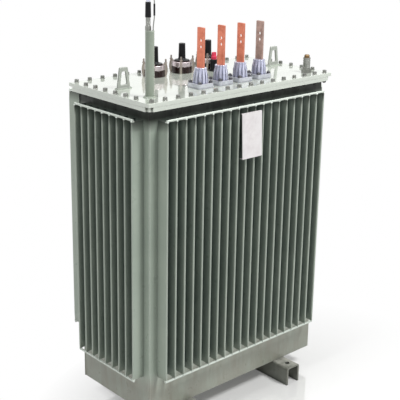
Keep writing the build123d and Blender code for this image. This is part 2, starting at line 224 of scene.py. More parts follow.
def makePaintedCreviceShade():  # painted shade: the colour darkened where ambient occlusion finds corners, recesses and the gaps between parts, where shade falls
    tree, given, result = newGroup(
        "paintedCreviceShade",
        [("Color", colorSocket, tint(150, 160, 150)), ("Painted Shade Color", colorSocket, tint(70, 78, 70)),
         ("Reach", floatSocket, 0.06), ("Amount", floatSocket, 0.6),
         ("Clean Above", floatSocket, 0.55), ("Full Below", floatSocket, 0.22)],
        [("Color", colorSocket)])
    hollow = tree.nodes.new("ShaderNodeAmbientOcclusion")
    hollow.samples = samples["hollow"]
    feed(tree, hollow.inputs["Distance"], given["Reach"])
    deep = remap(tree, hollow.outputs["AO"], given["Clean Above"], given["Full Below"])
    shadeBreakup = noiseMap(tree, objectPlace(tree), size=18.0, detail=4.0, roughness=0.6)
    patchy = remap(tree, shadeBreakup, fromLow=0.3, fromHigh=0.7, toLow=0.85)
    mask = product(tree, deep, patchy, given["Amount"])
    feed(tree, result["Color"], blendColors(tree, mask, given["Color"], given["Painted Shade Color"]))
    return tree


def makeHeightSoilAndShade():  # dirt and painted shade that are thickest at one height and gone at another: soil near the foot, and a painted shadow with some oily soot under the cover's rim
    tree, given, result = newGroup(
        "heightSoilAndShade",
        [("Color", colorSocket, tint(150, 160, 150)), ("Soil And Shade Color", colorSocket, tint(126, 119, 108)),
         ("Amount", floatSocket, 0.5), ("Full", floatSocket, 0.1), ("Gone", floatSocket, 0.3),
         ("Evenness", floatSocket, 0.4)],
        [("Color", colorSocket), ("Mask", floatSocket)])
    where = objectPlace(tree)
    height = remap(tree, upward(tree, where), given["Gone"], given["Full"])
    patches = noiseMap(tree, stretch(tree, where, (1.0, 1.0, 0.25)), size=24.0, detail=6.0, roughness=0.65)
    unevenBand = remap(tree, patches, fromLow=0.28, fromHigh=0.68, toLow=given["Evenness"])
    mask = product(tree, height, unevenBand, given["Amount"])
    feed(tree, result["Mask"], mask)
    feed(tree, result["Color"], blendColors(tree, mask, given["Color"], given["Soil And Shade Color"]))
    return tree


def makeDrawnGrain():  # fine lines left by rolling, drawing or turning, with dull patches
    tree, given, result = newGroup(
        "drawnGrain",
        [("Color", colorSocket, tint(190, 190, 190)), ("Dull Color", colorSocket, tint(140, 140, 140)),
         ("Stretch", vectorSocket, (1.0, 1.0, 0.05)), ("Line Size", floatSocket, 900.0),
         ("Dullness", floatSocket, 0.4),
         ("Gloss Low", floatSocket, 0.25), ("Gloss High", floatSocket, 0.45)],
        [("Color", colorSocket), ("Roughness", floatSocket), ("Height", floatSocket)])
    where = objectPlace(tree)
    lines = noiseMap(tree, stretch(tree, where, given["Stretch"]), given["Line Size"], detail=2.0)
    patches = noiseMap(tree, where, size=34.0, detail=5.0, roughness=0.65)
    dull = remap(tree, patches, fromLow=0.4, fromHigh=0.7)
    faded = product(tree, dull, given["Dullness"])
    feed(tree, result["Color"], blendColors(tree, faded, given["Color"], given["Dull Color"]))
    both = calc(tree, "ADD", product(tree, lines, 0.5), product(tree, dull, 0.5))
    feed(tree, result["Roughness"], remap(
        tree, both, fromLow=0.15, fromHigh=0.75, toLow=given["Gloss Low"], toHigh=given["Gloss High"]))
    feed(tree, result["Height"], lines)
    return tree


def makeGlazeFlow():  # fired glaze: pooled and thinned colour, tiny pits
    tree, given, result = newGroup(
        "glazeFlow",
        [("Color", colorSocket, tint(180, 180, 200)), ("Thin Color", colorSocket, tint(210, 208, 220)),
         ("Amount", floatSocket, 0.5)],
        [("Color", colorSocket), ("Roughness", floatSocket), ("Height", floatSocket)])
    where = objectPlace(tree)
    pools = noiseMap(tree, stretch(tree, where, (1.0, 1.0, 0.25)), size=95.0, detail=4.0, roughness=0.55)
    flow = product(tree, remap(tree, pools, fromLow=0.35, fromHigh=0.68), given["Amount"])
    feed(tree, result["Color"], blendColors(tree, flow, given["Color"], given["Thin Color"]))
    feed(tree, result["Roughness"], remap(
        tree, noiseMap(tree, where, size=240.0), fromLow=0.3, fromHigh=0.7, toLow=0.06, toHigh=0.2))
    feed(tree, result["Height"], noiseMap(tree, where, size=150.0, detail=2.0))
    return tree


def makeMouldedSkin():  # the fine spark texture of moulded plastic and rubber, with handling marks
    tree, given, result = newGroup(
        "mouldedSkin",
        [("Color", colorSocket, tint(24, 24, 26)), ("Rubbed Color", colorSocket, tint(52, 52, 54)),
         ("Amount", floatSocket, 0.4), ("Gloss Low", floatSocket, 0.3), ("Gloss High", floatSocket, 0.5)],
        [("Color", colorSocket), ("Roughness", floatSocket), ("Height", floatSocket)])
    where = objectPlace(tree)
    patches = noiseMap(tree, where, size=60.0, detail=5.0, roughness=0.65)
    marks = remap(tree, patches, fromLow=0.45, fromHigh=0.72)
    rubbed = product(tree, marks, given["Amount"])
    feed(tree, result["Color"], blendColors(tree, rubbed, given["Color"], given["Rubbed Color"]))
    feed(tree, result["Roughness"], remap(
        tree, marks, fromLow=0.0, fromHigh=1.0, toLow=given["Gloss Low"], toHigh=given["Gloss High"]))
    feed(tree, result["Height"], noiseMap(tree, where, size=1400.0, detail=2.0))
    return tree


enamelSkin = makeEnamelSkin()
wornEdges = makeWornEdges()
settledDustAndTopHighlight = makeSettledDustAndTopHighlight()
rainRuns = makeRainRuns()
paintedCreviceShade = makePaintedCreviceShade()
heightSoilAndShade = makeHeightSoilAndShade()
drawnGrain = makeDrawnGrain()
glazeFlow = makeGlazeFlow()
mouldedSkin = makeMouldedSkin()
print("shared effects built")


# finishes

def newFinish(name, constants):
    material = bpy.data.materials.new(name)
    material.use_nodes = True
    shader = material.node_tree.nodes["Principled BSDF"]
    for label, value in constants.items():
        shader.inputs[label].default_value = value
    return material, material.node_tree, shader


def useGroup(tree, group, values):
    node = tree.nodes.new("ShaderNodeGroup")
    node.node_tree = group
    for label, value in values.items():
        feed(tree, node.inputs[label], value)
    return node.outputs


# painted shade: a colour darkened in recesses, creases and the gaps between parts by ambient occlusion
def withPaintedShade(tree, look, color):
    paintedShade = useGroup(tree, paintedCreviceShade, {
        "Color": color, "Painted Shade Color": look["paintedShade"], "Reach": look["paintedShadeReach"],
        "Amount": look["paintedShadeAmount"],
        "Clean Above": look["paintedShadeRange"][0], "Full Below": look["paintedShadeRange"][1]})
    return paintedShade["Color"]


def addBump(tree, shader, height, look, normal):
    node = tree.nodes.new("ShaderNodeBump")
    node.inputs["Strength"].default_value = look["bumpStrength"]
    node.inputs["Distance"].default_value = look["bumpDepth"]
    tree.links.new(height, node.inputs["Height"])
    tree.links.new(normal, node.inputs["Normal"])
    tree.links.new(node.outputs["Normal"], shader.inputs["Normal"])


tankEnamel = {
    "color": tint(158, 168, 156), "shade": tint(142, 153, 142), "edge": tint(202, 209, 199), "mottle": 0.7,
    "gloss": (0.26, 0.4), "ior": 1.36, "coat": 0.25, "coatIor": 1.5, "coatRoughness": 0.05,
    "peelSize": 420.0, "bumpStrength": 0.5, "bumpDepth": 0.12 * mm,
    "edgeReach": 3.0 * mm, "edgeAmount": 0.6,
    "runs": tint(138, 147, 136), "runAmount": 0.3, "dustAndTopHighlight": tint(176, 174, 163), "dustAndTopHighlightAmount": 0.35,
    # painted shade: a dark teal laid where ambient occlusion finds the gaps between fins, the corners and
    # the neck under the cover
    "paintedShade": tint(44, 61, 63), "paintedShadeReach": 60.0 * mm, "paintedShadeAmount": 0.85, "paintedShadeRange": (0.55, 0.22),
    "soil": tint(124, 116, 105), "soilAmount": 0.7, "soilFull": 0.2, "soilGone": 0.27,
    # painted shadow of the cover's overhang, partly oily soot: darkest at 1.3 m and gone by 1.25 m
    "shadeAndSoot": tint(24, 27, 22), "shadeAndSootAmount": 1.0, "shadeAndSootFull": 1.3, "shadeAndSootGone": 1.25, "shadeAndSootEvenness": 0.85,
    "shadeAndSootDull": 0.6,  # how thick the painted shadow and soot band is where the coat's gloss is gone
}
coverEnamel = dict(
    tankEnamel, color=tint(192, 199, 188), shade=tint(181, 189, 178), edge=tint(214, 220, 210),
    runs=tint(166, 174, 163), dustAndTopHighlight=tint(204, 202, 194), gloss=(0.1, 0.2), bumpDepth=0.04 * mm,
    # a pale painted shade round the bolts and in the cover's edges and corners
    runAmount=0.1, dustAndTopHighlightAmount=0.12, paintedShade=tint(150, 158, 148), paintedShadeReach=12.0 * mm, paintedShadeAmount=0.4,
    shadeAndSootAmount=0.0, ior=1.75, coat=1.0, coatIor=1.85)
flangeEnamel = dict(
    # a dark brown painted shade in the flange's recessed corners and under its rim
    coverEnamel, paintedShade=tint(46, 44, 34), paintedShadeReach=26.0 * mm, paintedShadeAmount=1.0, paintedShadeRange=(0.72, 0.42))
pipeEnamel = dict(
    tankEnamel, color=tint(142, 152, 138), shade=tint(128, 138, 126), edge=tint(186, 194, 184), coat=0.5,
    gloss=(0.16, 0.3), runAmount=0.15, dustAndTopHighlightAmount=0.2, shadeAndSootAmount=0.0,
    # painted shade, shorter and weaker, where the pipe and lugs meet other parts
    paintedShadeReach=10.0 * mm, paintedShadeAmount=0.5)
lugEnamel = dict(pipeEnamel, color=tint(166, 171, 163), shade=tint(150, 155, 148), edge=tint(200, 204, 197))
rodEnamel = dict(
    tankEnamel, color=tint(204, 211, 203), shade=tint(184, 193, 184), edge=tint(224, 229, 222),
    # painted shade, short and weak, where the rods meet the fins
    dustAndTopHighlightAmount=0.2, paintedShadeReach=6.0 * mm, paintedShadeAmount=0.4, soilAmount=0.0, shadeAndSootAmount=0.0)
channelEnamel = dict(
    tankEnamel, color=tint(128, 135, 126), shade=tint(108, 114, 106), edge=tint(176, 178, 168), coat=0.1,
    # a thick light film on faces that look up: partly dust, partly a painted highlight for the sheen on the
    # channels' tops
    dustAndTopHighlight=tint(206, 204, 196), runAmount=0.45, dustAndTopHighlightAmount=0.9, edgeAmount=0.8, soil=tint(98, 94, 86),
    # a near black painted shade inside the channels and under the tank
    paintedShade=tint(28, 31, 28), paintedShadeReach=60.0 * mm, paintedShadeAmount=0.95, paintedShadeRange=(0.7, 0.35))


def enamelFinish(name, look):
    material, tree, shader = newFinish(name, {
        "IOR": look["ior"], "Coat Roughness": look["coatRoughness"], "Coat IOR": look["coatIor"]})
    skin = useGroup(tree, enamelSkin, {
        "Color": look["color"], "Shade": look["shade"], "Mottle": look["mottle"],
        "Peel Size": look["peelSize"],
        "Gloss Low": look["gloss"][0], "Gloss High": look["gloss"][1]})
    runs = useGroup(tree, rainRuns, {
        "Color": skin["Color"], "Run Color": look["runs"], "Amount": look["runAmount"]})
    edges = useGroup(tree, wornEdges, {
        "Color": runs["Color"], "Edge Color": look["edge"], "Reach": look["edgeReach"],
        "Amount": look["edgeAmount"]})
    color = edges["Color"]
    if look["soilAmount"] > 0:
        soil = useGroup(tree, heightSoilAndShade, {
            "Color": color, "Soil And Shade Color": look["soil"], "Amount": look["soilAmount"],
            "Full": look["soilFull"], "Gone": look["soilGone"]})
        color = soil["Color"]
    if look["shadeAndSootAmount"] > 0:  # the painted shadow under the rim, partly soot, dulls the coat's gloss too
        shadeAndSoot = useGroup(tree, heightSoilAndShade, {
            "Color": color, "Soil And Shade Color": look["shadeAndSoot"], "Amount": look["shadeAndSootAmount"],
            "Full": look["shadeAndSootFull"], "Gone": look["shadeAndSootGone"], "Evenness": look["shadeAndSootEvenness"]})
        color = shadeAndSoot["Color"]
        feed(tree, shader.inputs["Coat Weight"], remap(
            tree, shadeAndSoot["Mask"], fromLow=0.0, fromHigh=look["shadeAndSootDull"], toLow=look["coat"], toHigh=0.0))
    else:
        shader.inputs["Coat Weight"].default_value = look["coat"]
    dustAndTopHighlight = useGroup(tree, settledDustAndTopHighlight, {
        "Color": withPaintedShade(tree, look, color), "Dust And Highlight Color": look["dustAndTopHighlight"], "Amount": look["dustAndTopHighlightAmount"],
        "Roughness": skin["Roughness"]})
    feed(tree, shader.inputs["Base Color"], dustAndTopHighlight["Color"])
    feed(tree, shader.inputs["Roughness"], dustAndTopHighlight["Roughness"])
    addBump(tree, shader, skin["Height"], look, edges["Normal"])
    return material


turnedAluminium = {
    "color": tint(218, 206, 209), "dull": tint(176, 164, 166), "edge": tint(236, 230, 232), "metallic": 1.0,
    "stretch": (0.05, 0.05, 1.0), "lineSize": 900.0, "dullness": 0.5, "gloss": (0.26, 0.42),
    "edgeAmount": 0.4, "edgeReach": 1.2 * mm, "edgeRound": 0.6 * mm,
    "bumpStrength": 0.35, "bumpDepth": 0.05 * mm,
    # a light painted shade in the recesses of turned and plated metal parts
    "paintedShade": tint(70, 66, 66), "paintedShadeReach": 4.0 * mm, "paintedShadeAmount": 0.25, "paintedShadeRange": (0.62, 0.25),
}
clawPlating = dict(
    turnedAluminium, color=tint(172, 162, 154), dull=tint(120, 109, 102), edge=tint(214, 205, 198),
    stretch=(1.0, 1.0, 0.2), dullness=0.8, gloss=(0.3, 0.5), edgeAmount=0.7)
castClamp = dict(
    turnedAluminium, color=tint(206, 208, 216), dull=tint(168, 171, 182), edge=tint(232, 233, 238),
    metallic=0.5, stretch=(1.0, 1.0, 1.0), lineSize=420.0, dullness=0.8, gloss=(0.34, 0.55),
    # a strong blue-grey painted shade in the clamp blocks' recesses and round their nuts
    paintedShade=tint(66, 68, 82), paintedShadeReach=16.0 * mm, paintedShadeAmount=0.9, paintedShadeRange=(0.72, 0.4))
platedSteel = dict(
    turnedAluminium, color=tint(150, 152, 147), dull=tint(104, 105, 100), edge=tint(198, 199, 194),
    stretch=(1.0, 1.0, 0.3), dullness=0.7, gloss=(0.28, 0.5), edgeAmount=0.6)
boltPlating = dict(platedSteel, color=tint(142, 143, 139), dull=tint(98, 99, 95), edge=tint(186, 187, 183))
darkPlating = dict(platedSteel, color=tint(104, 104, 108), dull=tint(66, 66, 70), edge=tint(150, 150, 154))
# plated steel darkened to near black for the nuts under the flange: a painted shade of the cover's overhang
# with some soot
shadeAndSootPlating = dict(
    platedSteel, color=tint(44, 46, 42), dull=tint(28, 30, 27), edge=tint(70, 72, 67),
    metallic=0.3, gloss=(0.5, 0.7))
turnedBrass = dict(
    turnedAluminium, color=tint(132, 108, 78), dull=tint(88, 70, 50), edge=tint(176, 152, 114),
    dullness=0.7, gloss=(0.22, 0.4))
rolledCopper = dict(
    turnedAluminium, color=tint(224, 138, 113), dull=tint(188, 106, 84), edge=tint(242, 190, 168),
    stretch=(1.0, 1.0, 0.03), lineSize=1100.0, dullness=0.75, gloss=(0.26, 0.46), edgeAmount=0.5)
dullCopper = dict(
    rolledCopper, color=tint(188, 159, 149), dull=tint(134, 115, 109), edge=tint(214, 192, 184),
    gloss=(0.34, 0.55))
plateSheet = dict(
    turnedAluminium, color=tint(224, 221, 221), dull=tint(206, 200, 201), edge=tint(240, 239, 238),
    metallic=0.4, stretch=(0.04, 1.0, 1.0), lineSize=700.0, dullness=0.6, gloss=(0.34, 0.5))


def metalFinish(name, look):
    material, tree, shader = newFinish(name, {"Metallic": look["metallic"]})
    grain = useGroup(tree, drawnGrain, {
        "Color": look["color"], "Dull Color": look["dull"], "Stretch": look["stretch"],
        "Line Size": look["lineSize"], "Dullness": look["dullness"],
        "Gloss Low": look["gloss"][0], "Gloss High": look["gloss"][1]})
    edges = useGroup(tree, wornEdges, {
        "Color": grain["Color"], "Edge Color": look["edge"], "Reach": look["edgeReach"],
        "Amount": look["edgeAmount"], "Round": look["edgeRound"]})
    feed(tree, shader.inputs["Base Color"], withPaintedShade(tree, look, edges["Color"]))
    feed(tree, shader.inputs["Roughness"], grain["Roughness"])
    addBump(tree, shader, grain["Height"], look, edges["Normal"])
    return material


brownFiring = {
    "color": tint(28, 14, 13), "thin": tint(52, 29, 24), "amount": 0.5, "ior": 1.33,
    "coat": 0.2, "coatRoughness": 0.04, "bumpStrength": 0.3, "bumpDepth": 0.2 * mm, "edgeReach": 3.0 * mm,
    "edgeAmount": 0.7,
    # a dark brown painted shade in the glaze's recesses
    "paintedShade": tint(22, 14, 12), "paintedShadeReach": 6.0 * mm, "paintedShadeAmount": 0.6, "paintedShadeRange": (0.7, 0.35),
}
paleFiring = dict(
    brownFiring, color=tint(176, 180, 208), thin=tint(212, 213, 230), amount=0.7, ior=1.5, coat=1.0,
    # a blue-grey painted shade in the porcelain's flutes and recesses
    paintedShade=tint(84, 88, 112), paintedShadeReach=7.0 * mm, paintedShadeAmount=0.9, paintedShadeRange=(0.86, 0.5))


def glazeFinish(name, look):
    material, tree, shader = newFinish(name, {
        "Coat Weight": look["coat"], "Coat Roughness": look["coatRoughness"], "IOR": look["ior"]})
    glaze = useGroup(tree, glazeFlow, {
        "Color": look["color"], "Thin Color": look["thin"], "Amount": look["amount"]})
    edges = useGroup(tree, wornEdges, {
        "Color": glaze["Color"], "Edge Color": look["thin"], "Reach": look["edgeReach"],
        "Amount": look["edgeAmount"]})
    feed(tree, shader.inputs["Base Color"], withPaintedShade(tree, look, edges["Color"]))
    feed(tree, shader.inputs["Roughness"], glaze["Roughness"])
    addBump(tree, shader, glaze["Height"], look, edges["Normal"])
    return material


blackMoulding = {
    "color": tint(15, 15, 17), "rubbed": tint(30, 30, 32), "edge": tint(54, 54, 56), "gloss": (0.3, 0.46),
    "ior": 1.3, "dustAndTopHighlight": tint(150, 148, 142), "dustAndTopHighlightAmount": 0.15, "edgeReach": 1.5 * mm, "edgeAmount": 0.5,
    "edgeRound": 0.8 * mm, "bumpStrength": 0.3, "bumpDepth": 0.04 * mm,
}
redMoulding = dict(
    blackMoulding, color=tint(206, 50, 82), rubbed=tint(178, 40, 66), edge=tint(226, 96, 120),
    gloss=(0.18, 0.34), ior=1.45, dustAndTopHighlightAmount=0.05)


def mouldedFinish(name, look):
    material, tree, shader = newFinish(name, {"IOR": look["ior"]})
    skin = useGroup(tree, mouldedSkin, {
        "Color": look["color"], "Rubbed Color": look["rubbed"],
        "Gloss Low": look["gloss"][0], "Gloss High": look["gloss"][1]})
    edges = useGroup(tree, wornEdges, {
        "Color": skin["Color"], "Edge Color": look["edge"], "Reach": look["edgeReach"],
        "Amount": look["edgeAmount"], "Round": look["edgeRound"]})
    dustAndTopHighlight = useGroup(tree, settledDustAndTopHighlight, {
        "Color": edges["Color"], "Dust And Highlight Color": look["dustAndTopHighlight"], "Amount": look["dustAndTopHighlightAmount"],
        "Roughness": skin["Roughness"]})
    feed(tree, shader.inputs["Base Color"], dustAndTopHighlight["Color"])
    feed(tree, shader.inputs["Roughness"], dustAndTopHighlight["Roughness"])
    addBump(tree, shader, skin["Height"], look, edges["Normal"])
    return material


sightGlass = {"color": tint(226, 229, 240), "film": tint(206, 208, 222), "filmAmount": 0.6, "ior": 1.47}


def glassFinish(name, look):
    material, tree, shader = newFinish(name, {
        "Transmission Weight": 1.0, "IOR": look["ior"], "Metallic": 0.0})
    haze = useGroup(tree, glazeFlow, {
        "Color": look["color"], "Thin Color": look["film"], "Amount": look["filmAmount"]})
    feed(tree, shader.inputs["Base Color"], haze["Color"])
    feed(tree, shader.inputs["Roughness"], haze["Roughness"])
    return material


coverPaint = enamelFinish("coverEnamel", coverEnamel)
pipePaint = enamelFinish("pipeEnamel", pipeEnamel)
lugPaint = enamelFinish("lugEnamel", lugEnamel)
finishes = {
    "tank_paint": enamelFinish("tankEnamel", tankEnamel),
    "cover_paint": coverPaint,
    "gasket_rubber": coverPaint,  # the gasket's edge is painted over with the cover
    "rod_paint": enamelFinish("rodEnamel", rodEnamel),
    "channel_paint": enamelFinish("channelEnamel", channelEnamel),
    "brown_glaze": glazeFinish("brownGlaze", brownFiring),
    "ring_metal": metalFinish("turnedAluminium", turnedAluminium),
    "claw_metal": metalFinish("clawPlating", clawPlating),
    "black_plastic": mouldedFinish("blackMoulding", blackMoulding),
    "pale_glaze": glazeFinish("paleGlaze", paleFiring),
    "clamp_metal": metalFinish("castClamp", castClamp),
    "copper": metalFinish("rolledCopper", rolledCopper),
    "red_plastic": mouldedFinish("redMoulding", redMoulding),
    "plated_steel": metalFinish("platedSteel", platedSteel),
    "plug_brass": metalFinish("turnedBrass", turnedBrass),
    "sight_glass": glassFinish("sightGlass", sightGlass),
    "plate_metal": metalFinish("plateSheet", plateSheet),
}
ownFinish = {  # pieces whose finish differs a little from the rest of their slot
    "filler_pipe": pipePaint, "left_lifting_lug": lugPaint, "right_lifting_lug": lugPaint,
    "tank_flange": enamelFinish("flangeEnamel", flangeEnamel),
    "lv_flag_4": metalFinish("dullCopper", dullCopper),
}
for row in frame["record"]["subparts"]:
    for holder in nodes[row["node"]].material_slots:
        holder.material = ownFinish.get(row["node"], finishes[row["material_slot"]])
print("finishes set on", len(nodes), "nodes")


# mesh helpers

nutShape = {"points": 36, "crownShare": 0.475, "chamfer": 30.0}
threadShape = {  # heights are shares of the pitch, and the entries named share are shares of the radius
    "points": 16, "crest": 0.25, "root": 0.75, "rootShare": 0.88,
    "tip": 0.5, "tipShare": 0.96, "endShare": 0.8,
}
washerShape = {"points": 28, "edge": 0.4}


def addPiece(name, mesh, finish, sharpAngle=38.0):
    data = bpy.data.meshes.new(name)
    bmesh.ops.recalc_face_normals(mesh, faces=mesh.faces)
    mesh.to_mesh(data)
    mesh.free()
    data.polygons.foreach_set("use_smooth", [True] * len(data.polygons))
    data.set_sharp_from_angle(angle=math.radians(sharpAngle))
    data.materials.append(finish)
    piece = bpy.data.objects.new(name, data)
    scene.collection.objects.link(piece)
    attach(piece, "root")
    print(name, len(data.polygons), "faces")


def skinRings(mesh, rings, closeEnds=True):
    count = len(rings[0])
    for lower, upper in zip(rings, rings[1:]):
        for k in range(count):
            after = (k + 1) % count
            mesh.faces.new((lower[k], lower[after], upper[after], upper[k]))
    if closeEnds:
        mesh.faces.new(rings[0][::-1])
        mesh.faces.new(rings[-1])


def turned(mesh, place, profile, count):  # profile: radius and height pairs in mm, foot first
    rings = []
    for radius, height in profile:
        rings.append([mesh.verts.new(place @ Vector((
            radius * mm * math.cos(2 * math.pi * k / count),
            radius * mm * math.sin(2 * math.pi * k / count), height * mm))) for k in range(count)])
    skinRings(mesh, rings)


def hexNut(mesh, place, flats, height):  # hexagon with its crown chamfered like a real nut
    crown = flats * nutShape["crownShare"]
    foot, shoulder, top = [], [], []
    for k in range(nutShape["points"]):
        angle = 2 * math.pi * k / nutShape["points"]
        reach = flats / 2 / math.cos(angle % (math.pi / 3) - math.pi / 6)
        drop = (reach - crown) * math.tan(math.radians(nutShape["chamfer"]))
        across = Vector((math.cos(angle), math.sin(angle), 0.0))
        corner = across * reach * mm
        foot.append(mesh.verts.new(place @ corner))
        shoulder.append(mesh.verts.new(place @ (corner + Vector((0, 0, (height - drop) * mm)))))
        top.append(mesh.verts.new(place @ (across * crown * mm + Vector((0, 0, height * mm)))))
    skinRings(mesh, [foot, shoulder, top])


def threadedEnd(mesh, place, size, start, stand, pitch):  # stud with the crests and roots of its thread
    shape = threadShape
    radius = size / 2
    profile = [(radius, start)]
    height = start
    while height < stand - pitch:
        profile += [(radius, height + pitch * shape["crest"]),
                    (radius * shape["rootShare"], height + pitch * shape["root"])]
        height += pitch
    profile += [(radius * shape["tipShare"], stand - pitch * shape["tip"]),
                (radius * shape["endShare"], stand)]
    turned(mesh, place, profile, shape["points"])


def washer(mesh, place, size, height):
    edge = washerShape["edge"]
    outer = size / 2
    profile = [(outer - edge, 0.0), (outer, edge), (outer, height - edge), (outer - edge, height)]
    turned(mesh, place, profile, washerShape["points"])


# bolts round the cover's rim, with their nuts under the flange

rimBolts = {
    "pitch": 62.8, "longCount": 16, "shortCount": 6, "inset": 16.0, "headFlats": 15.0, "headHeight": 10.0,
    "nutFlats": 14.0, "nutHeight": 7.0, "washerSize": 18.0, "washerHeight": 2.0,
    "boltSize": 9.0, "boltPitch": 1.5, "boltReach": 5.0, "shortestShare": 0.6, "seed": 7,
}


def rimPlaces(low, high):
    middle = (low + high) / 2
    inset = rimBolts["inset"] * mm
    places = []
    for k in range(rimBolts["longCount"]):
        x = middle.x + (k - (rimBolts["longCount"] - 1) / 2) * rimBolts["pitch"] * mm
        places += [(x, low.y + inset), (x, high.y - inset)]
    for k in range(rimBolts["shortCount"]):
        y = middle.y + (k - (rimBolts["shortCount"] - 1) / 2) * rimBolts["pitch"] * mm
        places += [(low.x + inset, y), (high.x - inset, y)]
    return places


def addRimBolts():
    low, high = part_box("cover")
    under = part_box("tank_flange")[0].z
    heads = bmesh.new()
    nuts = bmesh.new()
    look = rimBolts
    chance = random.Random(look["seed"])
    lift = Matrix.Translation((0, 0, look["washerHeight"] * mm))
    for x, y in rimPlaces(low, high):
        turn = Matrix.Rotation(chance.uniform(0, math.pi / 3), 4, "Z")
        top = Matrix.Translation((x, y, high.z)) @ turn
        below = Matrix.Translation((x, y, under)) @ Matrix.Rotation(math.pi, 4, "X") @ turn
        washer(heads, top, look["washerSize"], look["washerHeight"])
        hexNut(heads, top @ lift, look["headFlats"], look["headHeight"])
        washer(nuts, below, look["washerSize"], look["washerHeight"])
        hexNut(nuts, below @ lift, look["nutFlats"], look["nutHeight"])
        reach = look["nutHeight"] + look["boltReach"] * chance.uniform(look["shortestShare"], 1.0)
        threadedEnd(nuts, below, look["boltSize"], look["nutHeight"], reach, look["boltPitch"])
    addPiece("rimBolts", heads, metalFinish("boltPlating", boltPlating))
    # the nuts under the flange take the darkened plating: painted shade with some soot
    addPiece("rimNuts", nuts, metalFinish("shadeAndSootPlating", shadeAndSootPlating))


addRimBolts()


# nuts on the clamp blocks of the low voltage bushings and on the claws of the high voltage ones

bushingNuts = {
    "count": 4, "washerHeight": 1.6,
    "blockNutFlats": 13.0, "blockNutHeight": 6.5, "blockStudSize": 8.0, "blockStudStand": 11.0,
    "blockStudPitch": 1.25, "blockWasher": 16.0, "blockInset": 10.0, "blockTurn": 40.0,
    "clawNutFlats": 11.0, "clawNutHeight": 5.0, "clawStudStand": 18.0, "clawCircle": 45.3, "clawTurn": 60.0,
}


def cornerPlaces(centre, radius, level):
    return [Vector((centre.x + radius * math.cos(a), centre.y + radius * math.sin(a), level))
            for a in [2 * math.pi * (k + 0.5) / bushingNuts["count"] for k in range(bushingNuts["count"])]]


def addBushingNuts():
    blocks = bmesh.new()
    claws = bmesh.new()
    look = bushingNuts
    lift = Matrix.Translation((0, 0, look["washerHeight"] * mm))
    for index in range(1, 5):
        low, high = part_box("lv_clamp_%d" % index)
        circle = ((high.x - low.x) / 2 - look["blockInset"] * mm) * math.sqrt(2)
        for spot in cornerPlaces((low + high) / 2, circle, high.z):
            place = Matrix.Translation(spot) @ Matrix.Rotation(index + spot.x * look["blockTurn"], 4, "Z")
            washer(blocks, place, look["blockWasher"], look["washerHeight"])
            hexNut(blocks, place @ lift, look["blockNutFlats"], look["blockNutHeight"])
            threadedEnd(blocks, place, look["blockStudSize"], look["blockNutHeight"],
                        look["blockStudStand"], look["blockStudPitch"])
    for name in ("left", "middle", "right"):
        low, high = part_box("hv_claws_" + name)
        level = high.z - look["clawStudStand"] * mm
        for spot in cornerPlaces((low + high) / 2, look["clawCircle"] * mm, level):
            hexNut(claws, Matrix.Translation(spot) @ Matrix.Rotation(spot.x * look["clawTurn"], 4, "Z"),
                   look["clawNutFlats"], look["clawNutHeight"])
    addPiece("blockNuts", blocks, metalFinish("darkPlating", darkPlating))
    addPiece("clawNuts", claws, finishes["claw_metal"])


addBushingNuts()


# weld beads: tank corners, under the flange, skirt on channels, lug feet, pipe foot and rod tacks

weldLook = {
    "step": 2.2 * mm, "ripple": 0.1, "jitter": 0.05, "sides": 8, "sharpAngle": 80.0, "uprightFrom": 0.9,
    "corner": 3.0 * mm, "flange": 3.2 * mm, "flangeSeed": 11, "channel": 4.0 * mm, "channelSeed": 21,
    "lug": 3.0 * mm, "lugSeed": 41, "pipe": 2.6 * mm, "pipeSeed": 43, "pipePoints": 48,
    "tack": 4.2 * mm, "tackSeed": 31, "tackSpread": (0.8, 1.2), "tackHeight": 0.8, "tackRough": 0.07,
    "tackWander": 1.0 * mm, "tackSideShare": 0.75, "finPitch": 45.0 * mm, "rodReach": 2.0 * mm,
}


def weldBead(mesh, corners, radius, seed, closed=False):  # a rippled round bead along straight runs
    chance = random.Random(seed)
    stops = list(corners) + ([corners[0]] if closed else [])
    path = []
    for start, end in zip(stops, stops[1:]):
        count = max(2, round((end - start).length / weldLook["step"]))
        path += [start.lerp(end, k / count) for k in range(count)]
    if not closed:
        path.append(stops[-1])
    rings = []
    for k, spot in enumerate(path):
        ahead = path[(k + 1) % len(path)] if closed or k + 1 < len(path) else spot
        behind = path[k - 1] if closed or k else spot
        along = (ahead - behind).normalized()
        upright = abs(along.z) > weldLook["uprightFrom"]
        side = along.cross(Vector((1, 0, 0) if upright else (0, 0, 1))).normalized()
        rise = side.cross(along)
        size = radius * (1.0 - weldLook["ripple"] * (k % 2) + chance.uniform(-1, 1) * weldLook["jitter"])
        rings.append([mesh.verts.new(spot + (side * math.cos(a) + rise * math.sin(a)) * size)
                      for a in [2 * math.pi * j / weldLook["sides"] for j in range(weldLook["sides"])]])
    if closed:
        skinRings(mesh, rings + rings[:1], closeEnds=False)
    else:
        skinRings(mesh, rings)


def weldDab(mesh, spot, chance):  # a short tack, a little out of round
    before = len(mesh.verts)
    size = weldLook["tack"]
    turn = Matrix.Rotation(chance.uniform(0, math.pi), 4, "Z")
    shape = Matrix.Diagonal((
        size * chance.uniform(*weldLook["tackSpread"]), size * chance.uniform(*weldLook["tackSpread"]),
        size * weldLook["tackHeight"], 1.0))
    place = Matrix.Translation(spot) @ turn @ shape
    bmesh.ops.create_icosphere(mesh, subdivisions=2, radius=1.0, matrix=place)
    mesh.verts.ensure_lookup_table()
    for vert in mesh.verts[before:]:
        vert.co += Vector([chance.uniform(-1, 1) for _ in range(3)]) * size * weldLook["tackRough"]


def boxRing(low, high, level):
    return [Vector((x, y, level)) for x, y in
            ((low.x, low.y), (high.x, low.y), (high.x, high.y), (low.x, high.y))]


